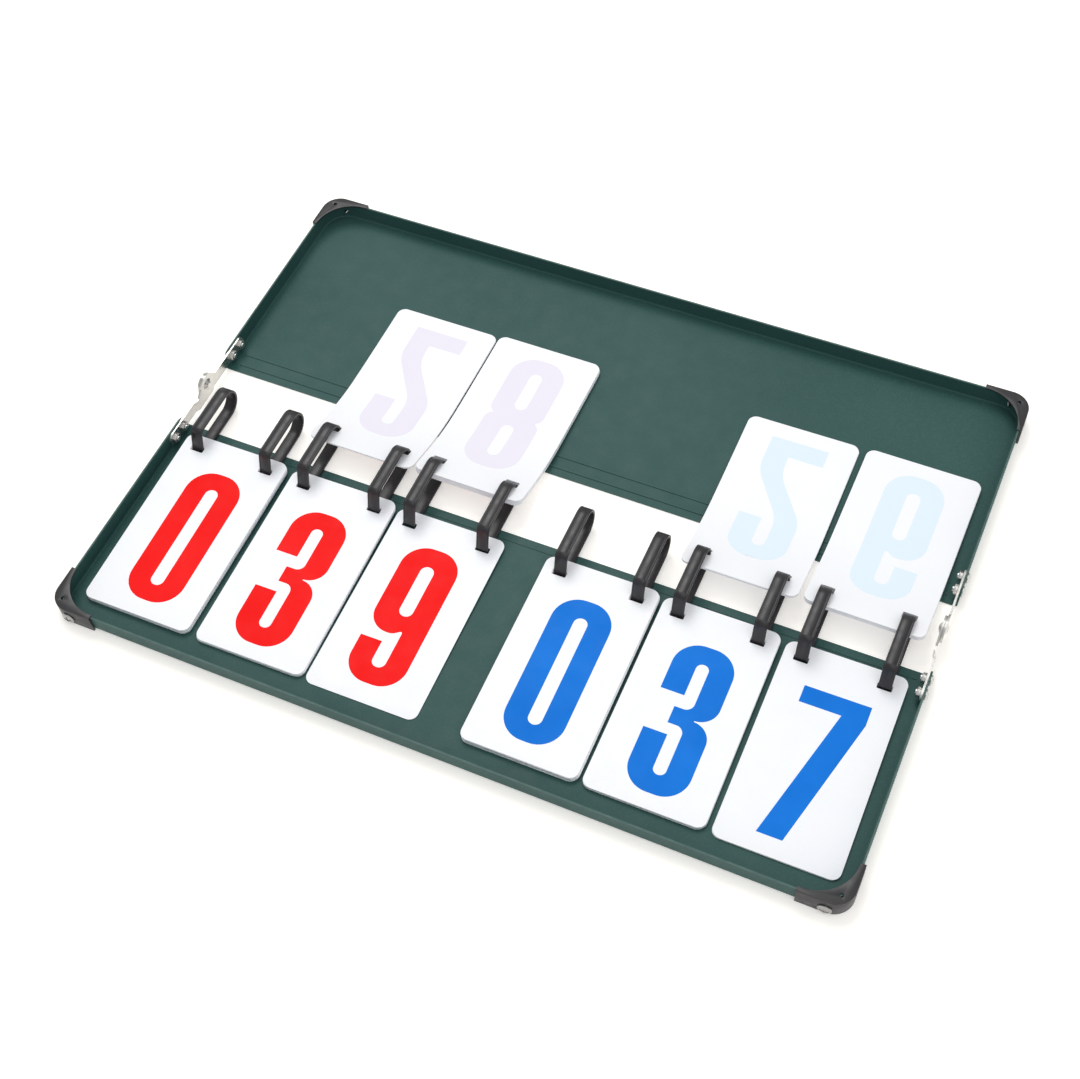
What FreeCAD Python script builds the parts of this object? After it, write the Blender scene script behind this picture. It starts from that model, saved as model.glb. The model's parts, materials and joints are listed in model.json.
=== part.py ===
# Folding table-top flip scoreboard, laid open flat.
#
# Two shallow sheet-steel trays are joined at both ends by a riveted strap
# hinge inside their end walls. Twelve moulded loops stand on the front tray's gap-side edge, two to
# a stack of score cards, so the cards can be turned over onto the back tray.
#
# Frame: millimetres, X along the length (left to right as read), Y from the
# front of the board to the back, Z up. The origin is on the table under the
# hinge line, half way along the board.
import FreeCAD, Part
import Sketcher
import math
import os

os.makedirs("parts", exist_ok=True)
doc = FreeCAD.newDocument("flip_scoreboard")
V = FreeCAD.Vector

# ---------------------------------------------------------------- dimensions
DIMS = [
    # trays
    ("tray_half_length", 300.0, "outer end wall to the middle"),
    ("tray_reach", 218.5, "hinge line to the outer long wall's outer face"),
    ("front_gap_edge", 30.5, "hinge line to the front floor's free edge"),
    ("back_gap_edge", 30.5, "hinge line to the back floor's free edge"),
    ("wall_height", 15.0, "table to the rim"),
    ("wall_gauge", 1.2, "wall sheet"),
    ("floor_gauge", 0.8, "floor sheet"),
    ("corner_radius", 22.0, "outer corner of a tray"),
    ("fold_radius", 2.4, "outer fold between floor and wall"),
    ("crease_line", 36.5, "hinge line to the front floor's stiffening rib"),
    ("wall_end_radius", 10.0, "rounded end of an end wall at the gap"),
    ("rib_near", 38.0, "hinge line to the first stiffening rib of the back floor"),
    ("rib_far", 48.5, "hinge line to the second stiffening rib"),
    ("rib_width", 2.2, ""),
    ("rib_height", 0.5, ""),
    # hinge
    ("pivot_height", 16.5, "table to the hinge line"),
    ("strap_gauge", 1.5, ""),
    ("strap_width", 10.0, ""),
    ("strap_clearance", 0.1, "strap to wall"),
    ("knuckle_diameter", 18.0, ""),
    ("knuckle_step", 1.7, "joggle of the front strap"),
    ("joggle_start", 19.5, "hinge line to the joggle's wall side"),
    ("joggle_stop", 16.5, "hinge line to the joggle's knuckle side"),
    ("bolt_height", 9.0, "table to the hinge bolts"),
    ("bolt_inset", 8.0, "floor edge to the nearer hinge bolt"),
    ("bolt_pitch", 12.0, ""),
    ("bolt_diameter", 4.0, ""),
    ("bolt_head_diameter", 8.0, ""),
    ("bolt_head_height", 2.4, ""),
    ("bolt_reach", 5.6, "bolt beyond the wall's inner face"),
    ("nut_flats", 7.0, ""),
    ("nut_height", 3.0, ""),
    ("rivet_diameter", 6.0, ""),
    ("rivet_head_diameter", 10.0, ""),
    ("rivet_head_height", 1.8, ""),
    ("pivot_clearance", 0.05, "radial, in the moving strap"),
    # corner protectors
    ("guard_long_arm", 34.0, "arm along the long wall"),
    ("guard_short_arm", 32.0, "arm along the end wall"),
    ("guard_gauge", 1.8, ""),
    ("guard_top", 16.2, "table to the top of a protector"),
    ("guard_lip", 2.0, "lip over the rim at the ends of the arms, inwards from the wall"),
    ("guard_lip_radius", 30.0, "concave sweep of the lip round the corner"),
    ("guard_corner_radius", 15.0, "a protector's own corner, fuller than the tray's"),
    ("guard_hole_inset", 6.6, "walls to the sight hole in the lip"),
    ("guard_screw_inset", 14.0, "end wall to the protector's screw"),
    ("guard_screw_height", 6.5, ""),
    ("guard_screw_diameter", 4.0, ""),
    ("guard_screw_head", 10.0, ""),
    ("guard_screw_head_height", 2.2, ""),
    # card loops
    ("loop_width", 9.5, "along X"),
    ("loop_gauge", 2.0, "strip thickness"),
    ("loop_height", 24.7, "over all"),
    ("loop_front", 54.2, "hinge line to the foremost point of a loop"),
    ("loop_back", 2.0, "hinge line to the back of a loop, behind it"),
    ("loop_lean", 15.0, "degrees that the front of a loop leans back from upright"),
    ("loop_front_radius", 5.0, "upper front bend, outside"),
    ("loop_foot_radius", 4.0, "lower front bend, outside"),
    ("loop_offset", 30.0, "stack centre to each of its loops"),
    ("loop_rivet_line", 46.0, "hinge line to the loop rivets"),
    ("loop_rivet_diameter", 3.2, ""),
    # cards
    ("card_width", 87.5, ""),
    ("card_length", 158.0, ""),
    ("card_gauge", 0.45, ""),
    ("card_pitch", 0.5, "card to card in a loose stack"),
    ("card_corner", 6.5, ""),
    ("card_top_edge", 41.2, "hinge line to the top edge of a front card"),
    ("slot_inset", 11.8, "card edge to the slot's middle, front stacks"),
    ("slot_width", 10.9, ""),
    ("slot_height", 4.8, ""),
    ("turned_slot_inset", 17.25, "card edge to the slot's middle, turned stacks, measured level"),
    ("turned_slot_height", 6.1, ""),
    ("stack_one", -244.5, "board middle to the middle of each stack"),
    ("stack_two", -151.4, ""),
    ("stack_three", -61.6, ""),
    ("stack_four", 60.7, ""),
    ("stack_five", 151.6, ""),
    ("stack_six", 243.8, ""),
    ("loop_shift", 0.8, "side play between a stack and its loops"),
    ("stack_low", 0.95, "table to the stack's underside at its free end"),
    ("stack_high", 3.05, "table to the stack's underside over the loops"),
    ("turned_edge", 17.0, "hinge line to the turned cards' slotted edge, in front of it"),
    ("turned_height", 18.8, "table to the turned cards' underside at that edge"),
    ("turned_shift", 0.5, "side play taken up by the turned cards"),
]
sheet = doc.addObject("Spreadsheet::Sheet", "Dims")
for row, (name, value, note) in enumerate(DIMS, start=1):
    sheet.set("A%d" % row, name)
    sheet.set("B%d" % row, repr(value))
    sheet.set("C%d" % row, note)
    sheet.setAlias("B%d" % row, name)
doc.recompute()


class Q:
    """A size with its value and the sheet expression that gives it."""

    def __init__(self, value, text):
        self.v, self.e = float(value), text

    def __add__(a, b):
        b = q(b)
        return Q(a.v + b.v, "(%s + %s)" % (a.e, b.e))

    def __sub__(a, b):
        b = q(b)
        return Q(a.v - b.v, "(%s - %s)" % (a.e, b.e))

    def __mul__(a, b):
        b = q(b)
        return Q(a.v * b.v, "(%s * %s)" % (a.e, b.e))

    def __truediv__(a, b):
        b = q(b)
        return Q(a.v / b.v, "(%s / %s)" % (a.e, b.e))

    def __neg__(a):
        return Q(-a.v, "(0 - %s)" % a.e)


def q(x):
    return x if isinstance(x, Q) else Q(x, repr(float(x)))


def dim(name):
    return Q(getattr(sheet, name), "Dims." + name)


D = {name: dim(name) for name, _, _ in DIMS}
ZERO = q(0)


# ---------------------------------------------------------------- helpers
def make_body(name):
    body = doc.addObject("PartDesign::Body", name)
    body.Label = name
    return body


def plane_of(body, role):
    return next(f for f in body.Origin.OriginFeatures if f.Role == role)


def add_sketch(body, name, role, offset=None):
    sk = body.newObject("Sketcher::SketchObject", name)
    sk.AttachmentSupport = [(plane_of(body, role), "")]
    sk.MapMode = "FlatFace"
    if offset is not None:
        sk.AttachmentOffset = FreeCAD.Placement(V(0, 0, offset.v), FreeCAD.Rotation())
        sk.setExpression("AttachmentOffset.Base.z", offset.e)
    return sk


def pin(sk, geo, pos, x, y):
    """Fix one point of the sketch by two dimensions bound to the sheet."""
    for kind, size in (("DistanceX", x), ("DistanceY", y)):
        n = sk.addConstraint(Sketcher.Constraint(kind, -1, 1, geo, pos, size.v))
        sk.setExpression("Constraints[%d]" % n, size.e)


def loop_sketch(sk, points, arcs=None):
    """A closed outline. points are (Q, Q). arcs maps the number of a side to
    (radius, True if it turns anticlockwise)."""
    arcs = arcs or {}
    n = len(points)
    first = sk.GeometryCount
    for i in range(n):
        (x0, y0), (x1, y1) = points[i], points[(i + 1) % n]
        a, b = V(x0.v, y0.v, 0), V(x1.v, y1.v, 0)
        if i in arcs:
            r, ccw = arcs[i]
            chord = b - a
            half = chord.Length / 2
            h = math.sqrt(max(r.v ** 2 - half ** 2, 0.0))
            mid = (a + b) * 0.5
            normal = V(-chord.y, chord.x, 0) / chord.Length
            centre = mid + normal * (h if ccw else -h)
            circle = Part.Circle(centre, V(0, 0, 1), r.v)
            ta = math.atan2(a.y - centre.y, a.x - centre.x)
            tb = math.atan2(b.y - centre.y, b.x - centre.x)
            if ccw:
                sk.addGeometry(Part.ArcOfCircle(circle, ta, tb if tb > ta else tb + 2 * math.pi), False)
            else:
                sk.addGeometry(Part.ArcOfCircle(circle, tb, ta if ta > tb else ta + 2 * math.pi), False)
        else:
            sk.addGeometry(Part.LineSegment(a, b), False)
    for i in range(n):
        g = first + i
        start = 1 if (i not in arcs or arcs[i][1]) else 2
        prev = first + (i - 1) % n
        pi = (i - 1) % n
        prev_end = 2 if (pi not in arcs or arcs[pi][1]) else 1
        sk.addConstraint(Sketcher.Constraint("Coincident", prev, prev_end, g, start))
        pin(sk, g, start, points[i][0], points[i][1])
    for i, (r, _) in arcs.items():
        c = sk.addConstraint(Sketcher.Constraint("Radius", first + i, r.v))
        sk.setExpression("Constraints[%d]" % c, r.e)


def rectangle(sk, x0, y0, x1, y1):
    loop_sketch(sk, [(x0, y0), (x1, y0), (x1, y1), (x0, y1)])


def circle(sk, x, y, diameter):
    g = sk.addGeometry(Part.Circle(V(x.v, y.v, 0), V(0, 0, 1), diameter.v / 2), False)
    pin(sk, g, 3, x, y)
    c = sk.addConstraint(Sketcher.Constraint("Diameter", g, diameter.v))
    sk.setExpression("Constraints[%d]" % c, diameter.e)


def pad(body, sk, length, name, midplane=False):
    f = body.newObject("PartDesign::Pad", name)
    f.Profile = sk
    f.Length = length.v
    f.setExpression("Length", length.e)
    f.Midplane = midplane
    sk.Visibility = False
    return f


def cut_through(body, sk, name):
    """A pocket right through, both ways from its sketch, which must remove metal."""
    doc.recompute()
    before = body.Shape.Volume
    f = body.newObject("PartDesign::Pocket", name)
    f.Profile = sk
    f.Type = "ThroughAll"
    f.Midplane = True
    doc.recompute()
    if not body.Shape.Volume < before - 1e-6:
        raise RuntimeError(name + " cuts nothing")
    return f


def round_edges(body, base, wanted, radius, name):
    doc.recompute()
    names = ["Edge%d" % (i + 1) for i, e in enumerate(base.Shape.Edges) if wanted(e)]
    if not names:
        raise RuntimeError(name + " finds no edge")
    f = body.newObject("PartDesign::Fillet", name)
    f.Base = (base, names)
    f.Radius = radius.v
    f.setExpression("Radius", radius.e)
    doc.recompute()
    return f


def ends(edge):
    return edge.Vertexes[0].Point, edge.Vertexes[-1].Point


def near(a, b, tol=1e-3):
    return abs(a - b) < tol


def value(name):
    return D[name].v


def feature(name, shape):
    f = doc.addObject("Part::Feature", name)
    f.Label = name
    f.Shape = shape
    f.Placement = FreeCAD.Placement()
    return f


NODES = []

# ---------------------------------------------------------------- the trays
CENTRES = [D["stack_" + word] for word in ("one", "two", "three", "four", "five", "six")]


def loop_x(centre, side):
    """Where a stack's left or right loop stands."""
    return centre - D["loop_shift"] + D["loop_offset"] * side




def tray_outline(sk, inset, edge, side):
    """The outline of a tray, or of its hollow, with its two outer corners rounded."""
    half, reach, r = D["tray_half_length"] - inset, D["tray_reach"] - inset, D["corner_radius"] - inset
    pts = [(-half, -edge), (-half, -(reach - r)), (-(half - r), -reach), (half - r, -reach),
           (half, -(reach - r)), (half, -edge)]
    loop_sketch(sk, [(x * -side, y * -side) for x, y in pts], {1: (r, True), 3: (r, True)})


def hollow_out(body, name, inset, height, edge, side):
    """Empty the tray above its floor, up to a height, out past the gap edge."""
    sk = add_sketch(body, name + "_outline", "XY_Plane", D["floor_gauge"])
    tray_outline(sk, inset, edge - 5, side)
    before = body.Shape.Volume
    f = body.newObject("PartDesign::Pocket", name)
    f.Profile = sk
    f.Type = "Length"
    f.Length = height.v
    f.setExpression("Length", height.e)
    f.Reversed = True
    doc.recompute()
    if not body.Shape.Volume < before - 1000:
        raise RuntimeError(name + " cuts nothing")
    return f


def make_tray(name, side, gap_edge):
    """One pressed tray. side is -1 for the front, 1 for the back."""
    body = make_body(name)
    half, gauge = D["tray_half_length"], D["wall_gauge"]
    edge = gap_edge * side
    sk = add_sketch(body, name + "_outline", "XY_Plane")
    tray_outline(sk, ZERO, gap_edge, side)
    block = pad(body, sk, D["wall_height"], name + "_block")
    round_edges(body, block,
                lambda e: all(near(p.z, 0) for p in ends(e)) and not all(near(p.y, edge.v) for p in ends(e)),
                D["fold_radius"], name + "_fold")
    hollow = hollow_out(body, name + "_hollow", gauge, D["wall_height"] - D["floor_gauge"], gap_edge, side)
    last = round_edges(body, hollow,
                       lambda e: all(near(p.z, value("floor_gauge")) for p in ends(e)) and min(
                           abs(p.y) for p in ends(e)) > gap_edge.v - 1 and (
                           not near(ends(e)[0].y, ends(e)[1].y) or abs(ends(e)[0].y) > 100),
                       D["fold_radius"] - gauge, name + "_inner_fold")
    round_edges(body, last,
                lambda e: all(near(p.y, edge.v) and near(p.z, value("wall_height")) for p in ends(e)),
                D["wall_end_radius"], name + "_wall_ends")
    # hinge bolt holes, through both end walls
    holes = add_sketch(body, name + "_bolt_centres", "YZ_Plane")
    for k in (0, 1):
        y = (gap_edge + D["bolt_inset"] + D["bolt_pitch"] * k) * side
        circle(holes, y, D["bolt_height"], D["bolt_diameter"])
    cut_through(body, holes, name + "_bolt_holes")
    # protector screw holes, through the long wall
    holes = add_sketch(body, name + "_guard_centres", "XZ_Plane")
    for s in (-1, 1):
        circle(holes, (half - D["guard_screw_inset"]) * s, D["guard_screw_height"], D["guard_screw_diameter"])
    cut_through(body, holes, name + "_guard_holes")
    ribs = ("rib_near", "rib_far") if side > 0 else ("crease_line",)
    for n, line in enumerate(ribs):
        rib = add_sketch(body, "%s_rib_%d_outline" % (name, n), "XY_Plane", D["floor_gauge"])
        w = (D["rib_width"] if side > 0 else D["rib_width"] * 0.6) / 2
        y0, y1 = D[line] - w, D[line] + w
        if side < 0:
            y0, y1 = -y1, -y0
        for i, (x0, x1) in enumerate(rib_spans(side)):
            rectangle(rib, x0, y0, x1, y1)
        pad(body, rib, D["rib_height"] if side > 0 else D["rib_height"] * 0.8, "%s_rib_%d" % (name, n))
    if side < 0:
        holes = add_sketch(body, name + "_loop_centres", "XY_Plane")
        for c in CENTRES:
            for s in (-1, 1):
                circle(holes, loop_x(c, s), -D["loop_rivet_line"], D["loop_rivet_diameter"])
        cut_through(body, holes, name + "_loop_holes")
    doc.recompute()
    NODES.append(body)
    return body


def rib_spans(side):
    """The runs of a stiffening rib: whole on the back floor, broken at the loops in front."""
    end = D["tray_half_length"] - D["wall_gauge"] - 8
    if side > 0:
        return [(-end, end)]
    spans, x = [], -end
    for c in CENTRES:
        for s in (-1, 1):
            mid = loop_x(c, s)
            spans.append((x, mid - D["loop_width"] / 2 - 1))
            x = mid + D["loop_width"] / 2 + 1
    return spans + [(x, end)]


make_tray("front_tray", -1, D["front_gap_edge"])
make_tray("back_tray", 1, D["back_gap_edge"])


# ---------------------------------------------------------------- corner protectors
def make_guard(name, sx, sy):
    """A moulded protector that wraps a tray's outer corner and hooks over the rim."""
    half, reach = value("tray_half_length"), value("tray_reach")
    g, top, lip = value("guard_gauge"), value("guard_top"), value("guard_lip")
    la, sa, r = value("guard_long_arm"), value("guard_short_arm"), value("corner_radius")
    gauge, rim = value("wall_gauge"), value("wall_height")

    def corner_slab(inset, radius, z0, z1):
        """A block with one rounded corner, inset from the protector's outside."""
        x1, y1 = half + g - inset, reach + g - inset
        x0, y0 = half - 60, reach - 60
        rr = max(radius, 0.01)
        k = rr * (1 - math.sqrt(0.5))
        pts = [V(x0, y0, z0), V(x1, y0, z0), V(x1, y1 - rr, z0)]
        e = [Part.LineSegment(pts[0], pts[1]).toShape(), Part.LineSegment(pts[1], pts[2]).toShape(),
             Part.Arc(V(x1, y1 - rr, z0), V(x1 - k, y1 - k, z0), V(x1 - rr, y1, z0)).toShape(),
             Part.LineSegment(V(x1 - rr, y1, z0), V(x0, y1, z0)).toShape(),
             Part.LineSegment(V(x0, y1, z0), pts[0]).toShape()]
        return Part.Face(Part.Wire(e)).extrude(V(0, 0, z1 - z0))

    shell = corner_slab(0, value("guard_corner_radius"), 0, top)
    # room for the wall, from the table to the rim, and for the inside above the floor
    shell = shell.cut(corner_slab(g, r, -1, rim))
    # the lip over the rim is widest at the corner and sweeps round to the arms
    shell = shell.cut(corner_slab(g + lip, value("guard_lip_radius"), rim - 0.01, top + 1))
    # the two arms
    keep = Part.makeBox(la + g, 60 + g, top + 2, V(half - la, reach - 60, -1)).common(
        Part.makeBox(60 + g, 60 + g, top + 2, V(half - 60, reach - 60, -1)))
    arm_x = Part.makeBox(la + g, 14 + g, top + 2, V(half - la, reach - 14, -1))
    arm_y = Part.makeBox(14 + g, sa + g, top + 2, V(half - 14, reach - sa, -1))
    shell = shell.common(keep).common(arm_x.fuse(arm_y))
    # screw hole in the long side, sight hole in the lip
    sx0 = half - value("guard_screw_inset")
    shell = shell.cut(Part.makeCylinder(value("guard_screw_diameter") / 2, 12,
                                        V(sx0, reach - 6, value("guard_screw_height")), V(0, 1, 0)))
    inset = value("guard_hole_inset")
    shell = shell.cut(Part.makeCylinder(1.5, 6, V(half - inset, reach - inset, rim - 1)))
    shell = shell.removeSplitter()
    if sx < 0:
        shell = shell.mirror(V(0, 0, 0), V(1, 0, 0))
    if sy < 0:
        shell = shell.mirror(V(0, 0, 0), V(0, 1, 0))
    solids = sorted(shell.Solids, key=lambda s: -s.Volume)
    f = feature(name, solids[0])
    NODES.append(f)
    return f


for name, sx, sy in (("corner_guard_front_left", -1, -1), ("corner_guard_front_right", 1, -1),
                     ("corner_guard_back_left", -1, 1), ("corner_guard_back_right", 1, 1)):
    make_guard(name, sx, sy)


def pan_screw(diameter, head, head_height, length, point):
    """A pan-head screw along +X: the head lies at x > 0, the shank at x < 0."""
    r, hr = diameter / 2, head / 2
    pts = [(-length, 0), (-length, r * (0.3 if point else 1)), (-length + (3 if point else 0.001), r), (0, r), (0, hr),
           (head_height * 0.45, hr)]
    e = []
    for a, b in zip(pts, pts[1:]):
        e.append(Part.LineSegment(V(a[0], a[1], 0), V(b[0], b[1], 0)).toShape())
    e.append(Part.Arc(V(head_height * 0.45, hr, 0), V(head_height * 0.86, hr * 0.62, 0), V(head_height, hr * 0.2, 0)).toShape())
    e.append(Part.LineSegment(V(head_height, hr * 0.2, 0), V(head_height, 0, 0)).toShape())
    e.append(Part.LineSegment(V(head_height, 0, 0), V(-length, 0, 0)).toShape())
    solid = Part.Face(Part.Wire(e)).revolve(V(0, 0, 0), V(1, 0, 0), 360)
    solid = Part.Solid(solid) if solid.ShapeType == "Shell" else solid
    w, d = head * 0.13, head * 0.62
    cross = Part.makeBox(head_height, w, d, V(head_height * 0.5, -w / 2, -d / 2)).fuse(
        Part.makeBox(head_height, d, w, V(head_height * 0.5, -d / 2, -w / 2)))
    return solid.cut(cross)


def turned(shape, direction, at):
    """Move a shape built along +X so that it points along direction at a place."""
    s = shape.copy()
    s.Placement = FreeCAD.Placement(at, FreeCAD.Rotation(V(1, 0, 0), direction))
    return s


def group(name, shapes):
    f = feature(name, Part.makeCompound(shapes))
    NODES.append(f)
    return f


for name, sy in (("corner_screws_front", -1), ("corner_screws_back", 1)):
    screw = pan_screw(value("guard_screw_diameter"), value("guard_screw_head"),
                      value("guard_screw_head_height"), 7.0, True)
    group(name, [turned(screw, V(0, sy, 0),
                        V(s * (value("tray_half_length") - value("guard_screw_inset")),
                          sy * (value("tray_reach") + value("guard_gauge")), value("guard_screw_height")))
                 for s in (-1, 1)])

# ---------------------------------------------------------------- strap hinges


def stadium(ya, za, yb, zb, r, x0, x1):
    """A round-ended bar between two points of a YZ plane, from x0 to x1."""
    d = V(0, yb - ya, zb - za)
    n = V(0, -d.z, d.y) / d.Length * r
    a, b = V(x0, ya, za), V(x0, yb, zb)
    u = d / d.Length * r
    w = Part.Wire([Part.LineSegment(a + n, b + n).toShape(), Part.Arc(b + n, b + u, b - n).toShape(),
                   Part.LineSegment(b - n, a - n).toShape(), Part.Arc(a - n, a - u, a + n).toShape()])
    return Part.Face(w).extrude(V(x1 - x0, 0, 0))


def prism(points, x0, x1):
    """A polygon of a YZ plane, from x0 to x1."""
    pts = [V(x0, y, z) for y, z in points]
    return Part.Face(Part.makePolygon(pts + [pts[0]])).extrude(V(x1 - x0, 0, 0))


def make_strap(name, sx, side, gap_edge):
    """A flat strap along the inside of an end wall, with a knuckle raised above its bar.
    The front one is joggled inwards beside the knuckle, so the two knuckles lap."""
    wall = value("tray_half_length") - value("wall_gauge") - value("strap_clearance")
    t, w, k, step = value("strap_gauge"), value("strap_width"), value("knuckle_diameter"), value("knuckle_step")
    pz, bz = value("pivot_height"), value("bolt_height")
    y1 = gap_edge + value("bolt_inset")
    y2 = y1 + value("bolt_pitch")

    def outline(x0, x1):
        bar = stadium(side * (y2 + 1), bz, -side * 2, bz, w / 2, x0, x1)
        shoulder = prism([(side * 14, bz), (side * 14, bz + w / 2), (side * k * 0.44, pz + k * 0.2), (0, pz), (0, bz)],
                         x0, x1)
        return bar.fuse(shoulder).fuse(Part.makeCylinder(k / 2, x1 - x0, V(x0, 0, pz), V(1, 0, 0)))

    def between(shape, y0, y1):
        return shape.common(Part.makeBox(40, y1 - y0, 80, V(wall - 20, y0, -10)))

    if side < 0:
        a, b = -value("joggle_start"), -value("joggle_stop")
        wall_part = between(outline(wall - t, wall), -200, a)
        link = outline(wall - t - step, wall).common(Part.Face(Part.makePolygon(
            [V(wall, a, -10), V(wall - step, b, -10), V(wall - step - t, b, -10), V(wall - t, a, -10),
             V(wall, a, -10)])).extrude(V(0, 0, 80)))
        knuckle = between(outline(wall - t - step, wall - step), b, 200)
        shape = wall_part.fuse(link).fuse(knuckle)
        bore = value("rivet_diameter")
    else:
        shape = outline(wall - t, wall)
        bore = value("rivet_diameter") + 2 * value("pivot_clearance")
    shape = shape.cut(Part.makeCylinder(bore / 2, 20, V(wall - 10, 0, pz), V(1, 0, 0)))
    for y in (y1, y2):
        shape = shape.cut(Part.makeCylinder(value("bolt_diameter") / 2, 20, V(wall - 10, side * y, bz), V(1, 0, 0)))
    shape = shape.removeSplitter()
    if sx < 0:
        shape = shape.mirror(V(0, 0, 0), V(1, 0, 0))
    f = feature(name, shape.Solids[0])
    NODES.append(f)


make_strap("hinge_strap_front_left", -1, -1, value("front_gap_edge"))
make_strap("hinge_strap_front_right", 1, -1, value("front_gap_edge"))
make_strap("hinge_strap_back_left", -1, 1, value("back_gap_edge"))
make_strap("hinge_strap_back_right", 1, 1, value("back_gap_edge"))


def make_pivot(name, sx):
    """The rivet through both knuckles, a shank with two domed heads."""
    body = make_body(name)
    outer = D["tray_half_length"] - D["wall_gauge"] - D["strap_clearance"]
    inner = outer - D["strap_gauge"] - D["knuckle_step"]
    r, hr, hh = D["rivet_diameter"] / 2, D["rivet_head_diameter"] / 2, D["rivet_head_height"]
    sk = add_sketch(body, name + "_half_section", "XZ_Plane")
    z = D["pivot_height"]
    gap = q(0.02)
    # inner head, shank and outer head as one half section
    pts = [(inner - gap - hh, z), (outer + gap + hh, z), (outer + gap + hh, z + hr * 0.35), (outer + gap, z + hr),
           (outer + gap, z + r), (inner - gap, z + r), (inner - gap, z + hr), (inner - gap - hh, z + hr * 0.35)]
    if sx < 0:
        pts = [(-x, y) for x, y in pts]
    loop_sketch(sk, pts)
    rev = body.newObject("PartDesign::Revolution", name + "_turned")
    rev.Profile = sk
    line = sk.addGeometry(Part.LineSegment(V(pts[0][0].v, z.v, 0), V(pts[1][0].v, z.v, 0)), True)
    sk.addConstraint(Sketcher.Constraint("Coincident", line, 1, 0, 1))
    sk.addConstraint(Sketcher.Constraint("Coincident", line, 2, 0, 2))
    rev.ReferenceAxis = (sk, ["Edge1"])
    rev.Angle = 360
    doc.recompute()
    NODES.append(body)


make_pivot("pivot_rivet_left", -1)
make_pivot("pivot_rivet_right", 1)

for label, side, gap_edge in (("front", -1, value("front_gap_edge")), ("back", 1, value("back_gap_edge"))):
    half, gauge = value("tray_half_length"), value("wall_gauge")
    inside = half - gauge - value("strap_clearance") - value("strap_gauge")
    bolt = pan_screw(value("bolt_diameter"), value("bolt_head_diameter"), value("bolt_head_height"),
                     gauge + value("bolt_reach"), False)
    hexagon = Part.Face(Part.makePolygon(
        [V(0, value("nut_flats") / math.sqrt(3) * math.cos(math.radians(60 * i + 30)),
           value("nut_flats") / math.sqrt(3) * math.sin(math.radians(60 * i + 30))) for i in range(7)]))
    nut = hexagon.extrude(V(value("nut_height"), 0, 0)).cut(
        Part.makeCylinder(value("bolt_diameter") / 2, 10, V(-2, 0, 0), V(1, 0, 0)))
    bolts, nuts = [], []
    for s in (-1, 1):
        for k in (0, 1):
            y = side * (gap_edge + value("bolt_inset") + value("bolt_pitch") * k)
            bolts.append(turned(bolt, V(s, 0, 0), V(s * half, y, value("bolt_height"))))
            nuts.append(turned(nut, V(-s, 0, 0), V(s * inside, y, value("bolt_height"))))
    group("hinge_bolts_" + label, bolts)
    group("hinge_nuts_" + label, nuts)

# ---------------------------------------------------------------- card loops
loop_low = D["floor_gauge"]
loop_high = D["floor_gauge"] + D["loop_height"]
loop_round = D["loop_height"] / 2
lean_cos = Q(math.cos(math.radians(value("loop_lean"))), "cos(Dims.loop_lean * 1 deg)")
lean_sin = Q(math.sin(math.radians(value("loop_lean"))), "sin(Dims.loop_lean * 1 deg)")


def make_loop(name, x):
    """One moulded loop: a strip bent into a long ring with a round back."""
    body = make_body(name)
    sk = add_sketch(body, name + "_outline", "YZ_Plane", x)
    yb = D["loop_back"] - loop_round
    # middles of the two front bends: the face between them touches both
    foot_y, foot_z = D["loop_foot_radius"] - D["loop_front"], loop_low + D["loop_foot_radius"]
    bend_z = loop_high - D["loop_front_radius"]
    bend_y = foot_y + ((bend_z - foot_z) * lean_sin + D["loop_front_radius"] - D["loop_foot_radius"]) / lean_cos
    for inset in (ZERO, D["loop_gauge"]):
        r, foot = D["loop_front_radius"] - inset, D["loop_foot_radius"] - inset
        lo, hi = loop_low + inset, loop_high - inset
        loop_sketch(sk, [(foot_y, lo), (yb, lo), (yb + loop_round - inset, loop_low + loop_round), (yb, hi),
                         (bend_y, hi), (bend_y - r * lean_cos, bend_z + r * lean_sin),
                         (foot_y - foot * lean_cos, foot_z + foot * lean_sin)],
                    {1: (loop_round - inset, True), 2: (loop_round - inset, True), 4: (r, True), 6: (foot, True)})
    strip = pad(body, sk, D["loop_width"], name + "_strip", midplane=True)
    doc.recompute()
    hole = add_sketch(body, name + "_rivet_centre", "XY_Plane", D["floor_gauge"] + D["loop_gauge"])
    circle(hole, x, -D["loop_rivet_line"], D["loop_rivet_diameter"])
    before = body.Shape.Volume
    drill = body.newObject("PartDesign::Pocket", name + "_rivet_hole")
    drill.Profile = hole
    drill.Type = "Length"
    drill.Length = value("loop_gauge")
    drill.setExpression("Length", D["loop_gauge"].e)
    doc.recompute()
    if not body.Shape.Volume < before - 1e-6:
        raise RuntimeError(name + " has no rivet hole")
    NODES.append(body)


number = 0
for c in CENTRES:
    for s in (-1, 1):
        number += 1
        make_loop("card_loop_%02d" % number, loop_x(c, s))

# flush rivets that hold the loops on the floor
rivets = []
for c in CENTRES:
    for s in (-1, 1):
        x = loop_x(c, s).v
        rivets.append(Part.makeCylinder(value("loop_rivet_diameter") / 2, value("floor_gauge") + value("loop_gauge"),
                                        V(x, -value("loop_rivet_line"), 0)))
group("loop_rivets", rivets)

# ---------------------------------------------------------------- cards
FRONT = [10, 7, 1, 10, 7, 3]
TURNED = [0, 3, 9, 0, 3, 7]


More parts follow.
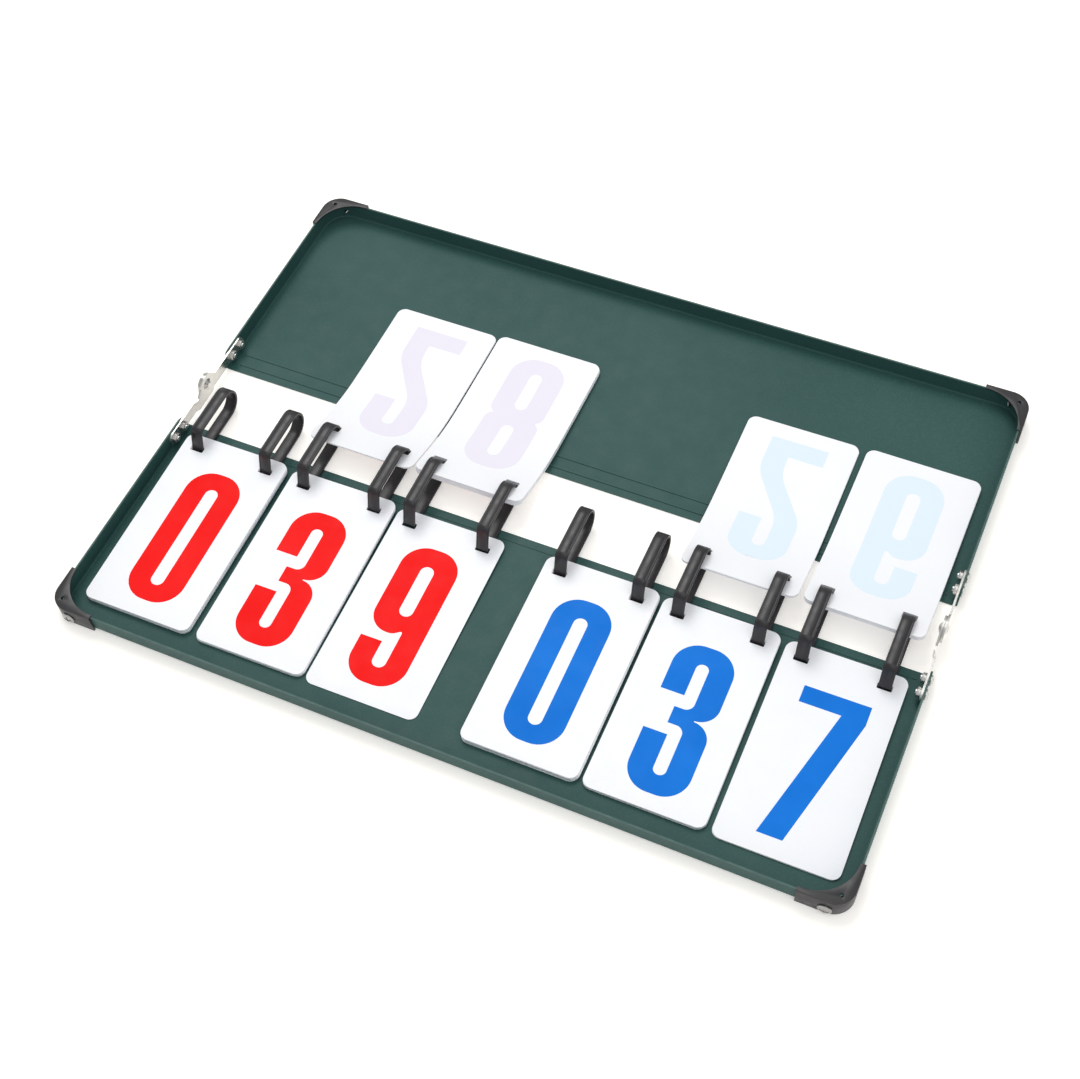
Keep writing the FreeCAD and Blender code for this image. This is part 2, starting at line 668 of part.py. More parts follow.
def make_blank():
    """A single card as cut: rounded corners and two slots at the loop end."""
    body = make_body("card_blank")
    sk = add_sketch(body, "card_outline", "XY_Plane")
    w, length, r = D["card_width"] / 2, D["card_length"], D["card_corner"]
    loop_sketch(sk, [(-w + r, -length), (w - r, -length), (w, -length + r), (w, -r), (w - r, ZERO),
                     (-w + r, ZERO), (-w, -r), (-w, -length + r)],
                {1: (r, True), 3: (r, True), 5: (r, True), 7: (r, True)})
    for s in (-1, 1):
        x, y = D["loop_offset"] * s - D["loop_shift"], -D["slot_inset"]
        rectangle(sk, x - D["slot_width"] / 2, y - D["slot_height"] / 2,
                  x + D["slot_width"] / 2, y + D["slot_height"] / 2)
    pad(body, sk, D["card_gauge"], "card_sheet")
    doc.recompute()
    return body


blank = make_blank()
tilt = math.atan2(value("stack_high") - value("stack_low"), value("card_length") - 20)
for n, count in enumerate(FRONT):
    cards = []
    for i in range(count):
        card = blank.Shape.copy()
        at = V(CENTRES[n].v, -value("card_top_edge"),
               value("stack_high") + 20 * math.tan(tilt) + i * value("card_pitch"))
        card.Placement = FreeCAD.Placement(at, FreeCAD.Rotation(V(1, 0, 0), math.degrees(tilt)))
        cards.append(card)
    group("front_cards_%d" % (n + 1), cards)


def turned_profile(lift):
    """The bend of a turned card, lifted off its lowest one: a straight slotted end, then
    short flats whose slope fades until the card lies on the tray."""
    runs = [(22.0, 18.0, 18.0, 1), (56.0, 17.3, 2.4, 12), (value("card_length") - 78.0, 1.7, 0.3, 4)]
    y, z = -value("turned_edge"), value("turned_height")
    pts, slopes = [V(0, y, z)], []
    for length, a0, a1, count in runs:
        for k in range(count):
            a = math.radians(a0 + (a1 - a0) * k / max(count - 1, 1))
            y += math.cos(a) * length / count
            z -= math.sin(a) * length / count
            pts.append(V(0, y, z))
            slopes.append(a)
    slopes = [slopes[0]] + [(p + r) / 2 for p, r in zip(slopes, slopes[1:])] + [slopes[-1]]
    return [V(0, p.y + math.sin(a) * lift, p.z + math.cos(a) * lift) for p, a in zip(pts, slopes)]


for n, count in enumerate(TURNED):
    if not count:
        continue
    x = CENTRES[n].v + value("turned_shift")
    w, r = value("card_width") / 2, value("card_corner")
    cards = []
    for i in range(count):
        low = turned_profile(i * value("card_pitch"))
        high = turned_profile(i * value("card_pitch") + value("card_gauge"))
        slab = Part.Face(Part.makePolygon(low + high[::-1] + [low[0]])).extrude(V(2 * w, 0, 0))
        slab.translate(V(x - w, 0, 0))
        y0 = min(low[0].y, high[0].y)
        y1 = max(low[-1].y, high[-1].y)
        box = Part.makeBox(2 * w, y1 - y0, 60, V(x - w, y0, -10))
        box = box.makeFillet(r, [e for e in box.Edges if near(ends(e)[0].x, ends(e)[1].x) and near(ends(e)[0].y, ends(e)[1].y)])
        card = slab.common(box)
        for s in (-1, 1):
            card = card.cut(Part.makeBox(value("slot_width"), value("turned_slot_height"), 60,
                                         V(x + s * value("loop_offset") - value("loop_shift") - value("slot_width") / 2,
                                           -value("turned_edge") + value("turned_slot_inset") - value("turned_slot_height") / 2, -10)))
        cards.append(card.Solids[0])
    group("turned_cards_%d" % (n + 1), cards)

# ---------------------------------------------------------------- checks and export
doc.recompute()
for obj in doc.Objects:
    bad = [s for s in obj.State if s in ("Invalid", "Error")]
    if bad:
        raise RuntimeError("%s is %s" % (obj.Label, bad))
for node in NODES:
    if node.Shape.isNull() or not node.Shape.isValid() or not node.Shape.Solids:
        raise RuntimeError("%s has no valid shape" % node.Label)
    node.Shape.exportStep("parts/%s.step" % node.Label)
    b = node.Shape.optimalBoundingBox(False, False)
    print("%-28s solids %2d  volume %10.1f  x %7.1f..%7.1f  y %7.1f..%7.1f  z %6.2f..%6.2f" % (
        node.Label, len(node.Shape.Solids), node.Shape.Volume, b.XMin, b.XMax, b.YMin, b.YMax, b.ZMin, b.ZMax))
print(len(NODES), "nodes")
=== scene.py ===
import json
import math
import random

import bmesh
import bpy
from mathutils import Matrix, Vector
from mathutils.geometry import tessellate_polygon

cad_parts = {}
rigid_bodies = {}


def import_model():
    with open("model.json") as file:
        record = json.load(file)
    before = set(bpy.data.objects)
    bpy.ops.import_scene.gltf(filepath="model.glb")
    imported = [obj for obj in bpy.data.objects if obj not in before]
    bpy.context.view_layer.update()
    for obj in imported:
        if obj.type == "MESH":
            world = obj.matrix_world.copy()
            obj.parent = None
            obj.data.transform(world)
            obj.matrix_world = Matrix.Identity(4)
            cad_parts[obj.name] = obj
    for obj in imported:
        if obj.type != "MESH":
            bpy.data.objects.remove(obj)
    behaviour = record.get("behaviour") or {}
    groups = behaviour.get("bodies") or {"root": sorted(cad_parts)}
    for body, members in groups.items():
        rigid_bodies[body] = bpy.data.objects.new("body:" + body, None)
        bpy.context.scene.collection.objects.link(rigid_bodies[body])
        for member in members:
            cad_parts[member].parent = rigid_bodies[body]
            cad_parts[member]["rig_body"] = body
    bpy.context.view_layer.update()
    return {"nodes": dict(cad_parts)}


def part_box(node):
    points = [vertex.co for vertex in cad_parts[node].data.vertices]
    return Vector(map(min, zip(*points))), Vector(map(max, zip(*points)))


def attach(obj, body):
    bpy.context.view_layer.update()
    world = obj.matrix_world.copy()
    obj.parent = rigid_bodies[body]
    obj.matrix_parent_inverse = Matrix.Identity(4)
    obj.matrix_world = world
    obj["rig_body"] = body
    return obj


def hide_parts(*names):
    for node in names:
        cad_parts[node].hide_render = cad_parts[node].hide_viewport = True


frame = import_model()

MM = 0.001
random.seed(7)


# ------------------------------------------------------------------ materials
def new_material(name):
    m = bpy.data.materials.new(name)
    m.use_nodes = True
    t = m.node_tree
    t.nodes.clear()
    out = t.nodes.new("ShaderNodeOutputMaterial")
    bsdf = t.nodes.new("ShaderNodeBsdfPrincipled")
    t.links.new(bsdf.outputs[0], out.inputs[0])
    return m, t, bsdf


def node(t, kind, inputs=None, **props):
    n = t.nodes.new(kind)
    for k, v in props.items():
        setattr(n, k, v)
    for k, v in (inputs or {}).items():
        if hasattr(v, "is_output") or isinstance(v, bpy.types.NodeSocket):
            t.links.new(v, n.inputs[k])
        else:
            n.inputs[k].default_value = v
    return n


def coords(t, scale=(1, 1, 1)):
    c = t.nodes.new("ShaderNodeTexCoord")
    m = node(t, "ShaderNodeMapping", {"Vector": c.outputs["Object"], "Scale": scale})
    return m.outputs[0]


def noise(t, vector, scale, detail=4.0, rough=0.5, distortion=0.0):
    return node(t, "ShaderNodeTexNoise", {"Vector": vector, "Scale": scale, "Detail": detail,
                                          "Roughness": rough, "Distortion": distortion}).outputs[0]


def remap(t, value, lo, hi, a, b):
    return node(t, "ShaderNodeMapRange", {"Value": value, "From Min": lo, "From Max": hi,
                                          "To Min": a, "To Max": b}).outputs[0]


def blend(t, fac, a, b, mode="MIX"):
    n = t.nodes.new("ShaderNodeMix")
    n.data_type = "RGBA"
    n.blend_type = mode
    for key, v in ((0, fac), (6, a), (7, b)):
        if isinstance(v, bpy.types.NodeSocket):
            t.links.new(v, n.inputs[key])
        elif key == 0:
            n.inputs[key].default_value = v
        else:
            n.inputs[key].default_value = (*v, 1.0) if len(v) == 3 else v
    return n.outputs[2]


def math_node(t, op, a, b=0.0, clamp=False):
    n = t.nodes.new("ShaderNodeMath")
    n.operation = op
    n.use_clamp = clamp
    for key, v in ((0, a), (1, b)):
        if isinstance(v, bpy.types.NodeSocket):
            t.links.new(v, n.inputs[key])
        else:
            n.inputs[key].default_value = v
    return n.outputs[0]


def bump(t, height, strength, distance, normal=None):
    n = node(t, "ShaderNodeBump", {"Height": height, "Strength": strength, "Distance": distance})
    if normal is not None:
        t.links.new(normal, n.inputs["Normal"])
    return n.outputs[0]


def set_in(t, bsdf, **values):
    for k, v in values.items():
        key = k.replace("_", " ")
        if isinstance(v, bpy.types.NodeSocket):
            t.links.new(v, bsdf.inputs[key])
        else:
            bsdf.inputs[key].default_value = v


def painted_steel(name, dark, light, edge):
    """Sprayed enamel: soft colour drift, orange peel, a patchy lighter green along the rim, fine dust."""
    m, t, b = new_material(name)
    v = coords(t)
    broad = remap(t, noise(t, v, 9, 3), 0.3, 0.7, 0, 1)
    speck = remap(t, noise(t, v, 700, 2), 0.45, 0.75, 0, 1)
    colour = blend(t, broad, (*dark,), (*light,))
    colour = blend(t, math_node(t, "MULTIPLY", speck, 0.16), colour, (*[min(1, c * 1.9 + 0.02) for c in light],))
    # lighter green in noisy patches along the rim, ramping in from 14.1 to 14.95 mm height
    z = node(t, "ShaderNodeSeparateXYZ", {"Vector": t.nodes.new("ShaderNodeTexCoord").outputs["Object"]}).outputs[2]
    rim = remap(t, z, 14.1 * MM, 14.95 * MM, 0, 1)
    rim_lighter = math_node(t, "MULTIPLY", rim, remap(t, noise(t, v, 120, 5, 0.7), 0.35, 0.7, 0.25, 0.75))
    colour = blend(t, rim_lighter, colour, (*edge,))
    peel = noise(t, v, 420, 2, 0.4)
    fine = noise(t, v, 2600, 2, 0.5)
    scratch = noise(t, coords(t, (60, 900, 900)), 1, 3, 0.6)
    set_in(t, b, Base_Color=colour,
           Roughness=remap(t, math_node(t, "ADD", noise(t, v, 60, 4), math_node(t, "MULTIPLY", speck, 0.3)), 0.3, 1.0, 0.36, 0.54),
           Normal=bump(t, scratch, 0.05, 0.00004, bump(t, fine, 0.12, 0.00003, bump(t, peel, 0.22, 0.00012))))
    set_in(t, b, **{"Specular_IOR_Level": 0.16})
    return m


def plastic(name, dark, light, rough=(0.38, 0.55), grain=1500, strength=0.2, streak=None):
    """Moulded plastic: fine spark-eroded grain, flow streaks and rubbed patches."""
    m, t, b = new_material(name)
    v = coords(t)
    patch = remap(t, noise(t, v, 45, 5, 0.6), 0.35, 0.7, 0, 1)
    colour = blend(t, patch, (*dark,), (*light,))
    g = noise(t, v, grain, 2, 0.6)
    n = bump(t, g, strength, 0.00005)
    if streak:
        s = noise(t, coords(t, streak), 1, 3, 0.6, 0.4)
        n = bump(t, s, 0.12, 0.00006, n)
        colour = blend(t, math_node(t, "MULTIPLY", remap(t, s, 0.5, 0.8, 0, 1), 0.35), colour, (*[c * 1.8 for c in light],))
    set_in(t, b, Base_Color=colour, Roughness=remap(t, noise(t, v, 150, 4), 0.3, 0.7, *rough), Normal=n)
    return m


def plated(name, colour, rough=(0.22, 0.42), brush=(30, 2500, 2500), metallic=1.0):
    """Zinc-plated steel: drawn grain, cloudy passivation, small pits."""
    m, t, b = new_material(name)
    v = coords(t)
    cloud = remap(t, noise(t, v, 90, 5, 0.6), 0.3, 0.7, 0, 1)
    base = blend(t, cloud, (*[c * 0.78 for c in colour],), (*colour,))
    line = noise(t, coords(t, brush), 1, 3, 0.6)
    pit = remap(t, noise(t, v, 1400, 3), 0.62, 0.75, 0, 1)
    base = blend(t, math_node(t, "MULTIPLY", pit, 0.35), base, (*[c * 0.45 for c in colour],))
    set_in(t, b, Base_Color=base, Metallic=metallic,
           Roughness=remap(t, math_node(t, "ADD", math_node(t, "MULTIPLY", line, 0.5), math_node(t, "MULTIPLY", cloud, 0.5)), 0.3, 0.7, *rough),
           Normal=bump(t, pit, 0.2, 0.00003, bump(t, line, 0.1, 0.00003)))
    return m


def pvc(name, cool, warm):
    """White calendered sheet: barely uneven gloss, faint scuffs and a cool cast."""
    m, t, b = new_material(name)
    v = coords(t)
    drift = remap(t, noise(t, v, 14, 3), 0.3, 0.7, 0, 1)
    colour = blend(t, drift, (*cool,), (*warm,))
    scuff = remap(t, noise(t, coords(t, (900, 90, 400)), 1, 4, 0.7, 0.6), 0.62, 0.8, 0, 1)
    colour = blend(t, math_node(t, "MULTIPLY", scuff, 0.05), colour, (0.72, 0.73, 0.76))
    set_in(t, b, Base_Color=colour,
           Roughness=remap(t, math_node(t, "ADD", noise(t, v, 60, 3), math_node(t, "MULTIPLY", scuff, 0.4)), 0.3, 1.0, 0.34, 0.55),
           Normal=bump(t, noise(t, v, 900, 2, 0.4), 0.05, 0.00003, bump(t, noise(t, v, 30, 2), 0.05, 0.0003)))
    set_in(t, b, **{"Subsurface_Weight": 0.04, "Subsurface_Scale": 0.0004})
    return m


def ink(name, dark, light, rough=(0.3, 0.46)):
    """Screen-printed ink: slight density drift, pin holes and a satin skin."""
    m, t, b = new_material(name)
    v = coords(t)
    drift = remap(t, noise(t, v, 22, 3), 0.3, 0.7, 0, 1)
    mesh = noise(t, v, 1300, 2, 0.5)
    colour = blend(t, drift, (*dark,), (*light,))
    colour = blend(t, math_node(t, "MULTIPLY", remap(t, mesh, 0.6, 0.8, 0, 1), 0.14), colour, (*[min(1, c * 1.25 + 0.03) for c in light],))
    set_in(t, b, Base_Color=colour, Roughness=remap(t, noise(t, v, 80, 3), 0.3, 0.7, *rough),
           Normal=bump(t, mesh, 0.08, 0.00002))
    set_in(t, b, Specular_IOR_Level=0.06)
    return m


GREEN_FRONT = painted_steel("front_tray_enamel", (0.026, 0.079, 0.072), (0.034, 0.092, 0.084), (0.12, 0.19, 0.175))
GREEN_BACK = painted_steel("back_tray_enamel", (0.026, 0.079, 0.072), (0.034, 0.092, 0.084), (0.12, 0.19, 0.175))
BLACK_CORNER = plastic("corner_moulding", (0.016, 0.015, 0.017), (0.028, 0.026, 0.029), (0.34, 0.48), 1700, 0.25)
BLACK_LOOP = plastic("loop_moulding", (0.012, 0.011, 0.0125), (0.021, 0.019, 0.022), (0.3, 0.44), 1500, 0.22, (900, 40, 40))
ZINC_STRAP = plated("strap_zinc", (0.72, 0.71, 0.68))
ZINC_SCREW = plated("screw_dark_nickel", (0.40, 0.395, 0.39), (0.16, 0.32), (600, 600, 600))
ZINC_BOLT = plated("bolt_zinc", (0.68, 0.67, 0.65), (0.2, 0.4), (600, 600, 600))
ZINC_NUT = plated("nut_zinc", (0.7, 0.69, 0.66), (0.22, 0.4), (600, 600, 600))
ZINC_RIVET = plated("rivet_zinc", (0.72, 0.71, 0.68), (0.18, 0.34), (800, 800, 800))
STEEL_RIVET = plated("loop_rivet_steel_finish", (0.5, 0.49, 0.47))
WHITE_FRONT = pvc("card_pvc_front", (0.90, 0.915, 0.955), (0.925, 0.93, 0.955))
WHITE_BACK = pvc("card_pvc_back", (0.91, 0.92, 0.955), (0.93, 0.935, 0.955))
RED = ink("digit_red", (0.92, 0.006, 0.006), (0.97, 0.012, 0.011))
BLUE = ink("digit_blue", (0.003, 0.165, 0.66), (0.007, 0.195, 0.74))
GHOST_RED = ink("show_through_red", (0.84, 0.80, 0.90), (0.855, 0.82, 0.91), (0.36, 0.5))
GHOST_BLUE = ink("show_through_blue", (0.76, 0.87, 0.955), (0.78, 0.885, 0.955), (0.36, 0.5))


# ------------------------------------------------------------------ mesh tools
def finish_mesh(obj, angle=32):
    for p in obj.data.polygons:
        p.use_smooth = True
    obj.data.set_sharp_from_angle(angle=math.radians(angle))
    return obj


def object_from(name, verts, faces, material):
    me = bpy.data.meshes.new(name)
    me.from_pydata([tuple(v) for v in verts], [], faces)
    me.validate()
    me.update()
    o = bpy.data.objects.new(name, me)
    bpy.context.scene.collection.objects.link(o)
    me.materials.append(material)
    return o


def rounded(points, seg=13):
    """A closed outline whose corners are rounded: points are (x, y, radius)."""
    out, n = [], len(points)
    for i, (x, y, r) in enumerate(points):
        p = Vector((x, y))
        a = Vector(points[i - 1][:2]) - p
        b = Vector(points[(i + 1) % n][:2]) - p
        if r <= 0:
            out.append(p)
            continue
        la, lb = a.length, b.length
        a.normalize()
        b.normalize()
        half = math.acos(max(-1, min(1, a.dot(b)))) / 2
        d = min(r / math.tan(half), la * 0.98, lb * 0.98)
        rr = d * math.tan(half)
        c = p + (a + b).normalized() * (rr / math.sin(half))
        s, e = p + a * d - c, p + b * d - c
        turn = math.atan2(s.x * e.y - s.y * e.x, s.dot(e))
        for k in range(seg + 1):
            w = turn * k / seg
            out.append(c + Vector((s.x * math.cos(w) - s.y * math.sin(w), s.x * math.sin(w) + s.y * math.cos(w))))
    return out


def flat_fill(outer, holes=(), step=4.0):
    """Vertices and faces of a filled outline, cut across y so that it can bend."""
    loops = [[Vector((p.x, p.y, 0)) for p in loop] for loop in (outer, *holes)]
    tris = tessellate_polygon(loops)
    pts = [v for loop in loops for v in loop]
    bm = bmesh.new()
    vs = [bm.verts.new(v) for v in pts]
    for t in tris:
        try:
            bm.faces.new([vs[i] for i in t])
        except ValueError:
            pass
    bmesh.ops.remove_doubles(bm, verts=bm.verts, dist=1e-4)
    ys = [p.y for p in pts]
    y = min(ys) + step
    while y < max(ys) - 0.3:
        bmesh.ops.bisect_plane(bm, geom=bm.verts[:] + bm.edges[:] + bm.faces[:], dist=1e-5,
                               plane_co=(0, y, 0), plane_no=(0, 1, 0))
        y += step
    bmesh.ops.recalc_face_normals(bm, faces=bm.faces)
    if sum(f.normal.z for f in bm.faces) < 0:
        bmesh.ops.reverse_faces(bm, faces=bm.faces)
    bm.verts.index_update()
    verts = [(v.co.x, v.co.y) for v in bm.verts]
    faces = [[v.index for v in f.verts] for f in bm.faces]
    edge = []
    for e in bm.edges:
        if len(e.link_faces) == 1:
            f = e.link_faces[0]
            ids = [v.index for v in f.verts]
            a, b = e.verts[0].index, e.verts[1].index
            k = ids.index(a)
            if ids[(k + 1) % len(ids)] == b:
                edge.append((a, b))
            else:
                edge.append((b, a))
    bm.free()
    return verts, faces, edge


def slab(name, filled, thickness, place, material, base=0.0):
    """A bent sheet: place(x, y, h) puts a flat point at a height above the sheet's underside."""
    verts, faces, edge = filled
    n = len(verts)
    low = [place(x, y, base) for x, y in verts]
    high = [place(x, y, base + thickness) for x, y in verts]
    all_faces = [[i + n for i in f] for f in faces] + [list(reversed(f)) for f in faces]
    all_faces += [[a, b, b + n, a + n] for a, b in edge]
    return finish_mesh(object_from(name, [tuple(c * MM for c in v) for v in low + high], all_faces, material))


def bevelled(cad_name, material, width=0.25, segments=2, angle=35, name=None):
    """A copy of a CAD node with softened edges that stands for it."""
    src = frame["nodes"][cad_name]
    me = src.data.copy()
    me.name = name or cad_name + "_soft"
    bm = bmesh.new()
    bm.from_mesh(me)
    bmesh.ops.remove_doubles(bm, verts=bm.verts, dist=1e-6)
    bmesh.ops.dissolve_limit(bm, angle_limit=math.radians(0.4), verts=bm.verts, edges=bm.edges,
                             delimit={"NORMAL"})
    bm.to_mesh(me)
    bm.free()
    o = bpy.data.objects.new(name or cad_name + "_soft", me)
    bpy.context.scene.collection.objects.link(o)
    mod = o.modifiers.new("soft", "BEVEL")
    mod.width = width * MM
    mod.segments = segments
    mod.limit_method = "ANGLE"
    mod.angle_limit = math.radians(angle)
    mod.use_clamp_overlap = True
    mod.harden_normals = False
    bpy.context.view_layer.update()
    dg = bpy.context.evaluated_depsgraph_get()
    done = bpy.data.meshes.new_from_object(o.evaluated_get(dg))
    o.modifiers.clear()
    o.data = done
    done.materials.clear()
    done.materials.append(material)
    finish_mesh(o)
    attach(o, src["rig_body"])
    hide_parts(cad_name)
    return o


def paint(cad_name, material):
    o = frame["nodes"][cad_name]
    o.data.materials.clear()
    o.data.materials.append(material)


# ------------------------------------------------------------------ steelwork and mouldings
for cad, mat in ([("front_tray", GREEN_FRONT), ("back_tray", GREEN_BACK), ("loop_rivets", STEEL_RIVET)]
                 + [("hinge_strap_%s_%s" % (a, b), ZINC_STRAP) for a in ("front", "back") for b in ("left", "right")]
                 + [("pivot_rivet_" + b, ZINC_RIVET) for b in ("left", "right")]):
    paint(cad, mat)
for cad, mat, width in ([("corner_guard_%s_%s" % (a, b), BLACK_CORNER, 0.45) for a in ("front", "back") for b in ("left", "right")]
                        + [("corner_screws_" + a, ZINC_SCREW, 0.2) for a in ("front", "back")]
                        + [("hinge_bolts_" + a, ZINC_BOLT, 0.15) for a in ("front", "back")]
                        + [("hinge_nuts_" + a, ZINC_NUT, 0.3) for a in ("front", "back")]):
    bevelled(cad, mat, width)


# ------------------------------------------------------------------ card loops
def loop_path(inset):
    """Points and outward normals of the loop's outline in Y and Z, millimetres."""
    lean = 15.0
    low, high, back = 0.8 + inset, 25.5 - inset, 2.0 - inset
    r_back, r_top, r_foot = (25.5 - 0.8) / 2 - inset, 5.0 - inset, 4.0 - inset
    foot_y, foot_z, bend_z = -50.2, 4.8, 20.5
    bend_y = foot_y + ((bend_z - foot_z) * math.sin(math.radians(lean)) + 1.0) / math.cos(math.radians(lean))
    pts = []

    def arc(cy, cz, r, a0, a1, n):
        for k in range(n + 1):
            a = math.radians(a0 + (a1 - a0) * k / n)
            pts.append((cy + r * math.cos(a), cz + r * math.sin(a), math.cos(a), math.sin(a)))

    def run(y0, z0, y1, z1, ny, nz, n):
        for k in range(1, n):
            pts.append((y0 + (y1 - y0) * k / n, z0 + (z1 - z0) * k / n, ny, nz))

    cy, cz = back - r_back, (low + high) / 2
    arc(cy, cz, r_back, -90, 90, 28)
    run(cy, high, bend_y, high, 0, 1, 8)
    arc(bend_y, bend_z, r_top, 90, 180 - lean, 10)
    c, sn = math.cos(math.radians(lean)), math.sin(math.radians(lean))
    run(bend_y - r_top * c, bend_z + r_top * sn, foot_y - r_foot * c, foot_z + r_foot * sn, -c, sn, 5)
    arc(foot_y, foot_z, r_foot, 180 - lean, 270, 10)
    run(foot_y, low, cy, low, 0, -1, 8)
    return pts


def make_loop(number):
    cad = "card_loop_%02d" % number
    lo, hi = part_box(cad)
    x0, x1 = lo.x / MM, hi.x / MM
    path = loop_path(1.0)
    # the strip's section: rounded edges and a shallow groove down each side of the outer face
    w = (x1 - x0) / 2
    section = [(-w, -0.55), (-w + 0.14, -0.86), (-w + 0.5, -1.0), (w - 0.5, -1.0), (w - 0.14, -0.86), (w, -0.55),
               (w, 0.55), (w - 0.14, 0.86), (w - 0.5, 1.0), (w - 1.05, 1.0), (w - 1.25, 0.82), (w - 1.5, 0.82),
               (w - 1.7, 0.97), (-w + 1.7, 0.97), (-w + 1.5, 0.82), (-w + 1.25, 0.82), (-w + 1.05, 1.0),
               (-w + 0.5, 1.0), (-w + 0.14, 0.86), (-w, 0.55)]
    xm, m, n = (x0 + x1) / 2, len(section), len(path)
    verts = [((xm + sx) * MM, (y + ny * sn) * MM, (z + nz * sn) * MM) for y, z, ny, nz in path for sx, sn in section]
    faces = [[i * m + j, i * m + (j + 1) % m, ((i + 1) % n) * m + (j + 1) % m, ((i + 1) % n) * m + j]
             for i in range(n) for j in range(m)]
    o = object_from("loop_%02d" % number, verts, faces, BLACK_LOOP)
    bm = bmesh.new()
    bm.from_mesh(o.data)
    bmesh.ops.recalc_face_normals(bm, faces=bm.faces)
    bm.to_mesh(o.data)
    bm.free()
    finish_mesh(o, 50)
    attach(o, "front_half")
    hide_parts(cad)


for k in range(1, 13):
    make_loop(k)

# ------------------------------------------------------------------ cards
CARD_W, CARD_L, CARD_T, PITCH = 87.5, 158.0, 0.45, 0.5
CARD_OUTLINE = rounded([(-CARD_W / 2, 0, 6.5), (-CARD_W / 2, -CARD_L, 6.5), (CARD_W / 2, -CARD_L, 6.5), (CARD_W / 2, 0, 6.5)], 8)


def slot_hole(s, y, h):
    x, w = 30.0 * s - 0.8, 5.45
    return rounded([(x - w, y - h, 0.8), (x + w, y - h, 0.8), (x + w, y + h, 0.8), (x - w, y + h, 0.8)], 3)


CARD_FILL = flat_fill(CARD_OUTLINE, [slot_hole(-1, -11.8, 2.4), slot_hole(1, -11.8, 2.4)], 4.0)
TURNED_FILL = flat_fill(CARD_OUTLINE, [slot_hole(-1, -18.1, 3.2), slot_hole(1, -18.1, 3.2)], 4.0)
FRONT_COUNT = {1: 10, 2: 7, 3: 1, 4: 10, 5: 7, 6: 3}
TURNED_COUNT = {2: 3, 3: 9, 5: 3, 6: 7}
# how each turned stack lies: a little aside and askew on its loops
FRONT_YAW = {1: 0.5, 2: 0.72, 3: 0.5, 4: 0.3, 5: 0.35, 6: 0.35}
# where each numeral is printed: from the card's middle line and slotted edge
PRINT = {1: (1.2, -27.0), 2: (-0.7, -28.6), 3: (-0.25, -24.9), 4: (0.05, -26.3), 5: (1.5, -28.6), 6: (2.1, -28.3)}
TURNED_DX = {2: -0.7, 3: -0.1, 5: -0.1, 6: -0.6}
TURNED_YAW = {2: 0.0, 3: 0.1, 5: -0.45, 6: 0.25}
TILT = math.atan2(3.05 - 0.95, CARD_L - 20)


def front_place(cx, yaw, dx, dy, lift):
    """Where a card of a front stack lies: x across, y down the card from its slotted edge."""
    c, s = math.cos(yaw), math.sin(yaw)

    def place(x, y, h):
        u, v = x * c - (y + 11.8) * s, x * s + (y + 11.8) * c - 11.8
        return (cx + dx + u, -41.2 + dy + v * math.cos(TILT),
                3.05 + 20 * math.tan(TILT) + v * math.sin(TILT) + lift + h)
    return place


def turned_point(s):
    """The turned cards' bend at a distance from their slotted edge."""
    a0, a1, a2 = math.radians(18.0), math.radians(1.7), math.radians(0.3)
    y, z, done = -17.0, 18.8, 0.0
    step = 0.5
    while done < s - 1e-9:
        d = min(step, s - done)
        m = done + d / 2
        a = a0 if m < 22 else a0 + (a1 - a0) * (m - 22) / 56 if m < 78 else a1 + (a2 - a1) * (m - 78) / 80
        y += d * math.cos(a)
        z -= d * math.sin(a)
        done += d
    m = s
    a = a0 if m < 22 else a0 + (a1 - a0) * (m - 22) / 56 if m < 78 else a1 + (a2 - a1) * (m - 78) / 80
    return y, z, a


BEND = [turned_point(k * 0.5) for k in range(int(CARD_L / 0.5) + 3)]


def turned_place(cx, yaw, dx, dy, lift):
    c, sn = math.cos(yaw), math.sin(yaw)

    def place(x, y, h):
        u, v = x * c - (y + 18) * sn, x * sn + (y + 18) * c - 18
        s = max(0.0, min(CARD_L + 0.5, -v))
        k = min(int(s / 0.5), len(BEND) - 2)
        f = s / 0.5 - k
        py, pz, pa = (BEND[k][i] * (1 - f) + BEND[k + 1][i] * f for i in range(3))
        over = lift + h
        return (cx + dx + u, py + dy + math.sin(pa) * over, pz + math.cos(pa) * over)
    return place


# the numerals: condensed, heavy and plain, drawn 118 high on their own centre line
def loop_box(x0, x1, y0, y1, r):
    return rounded([(x0, y0, r), (x0, y1, r), (x1, y1, r), (x1, y0, r)], 10)


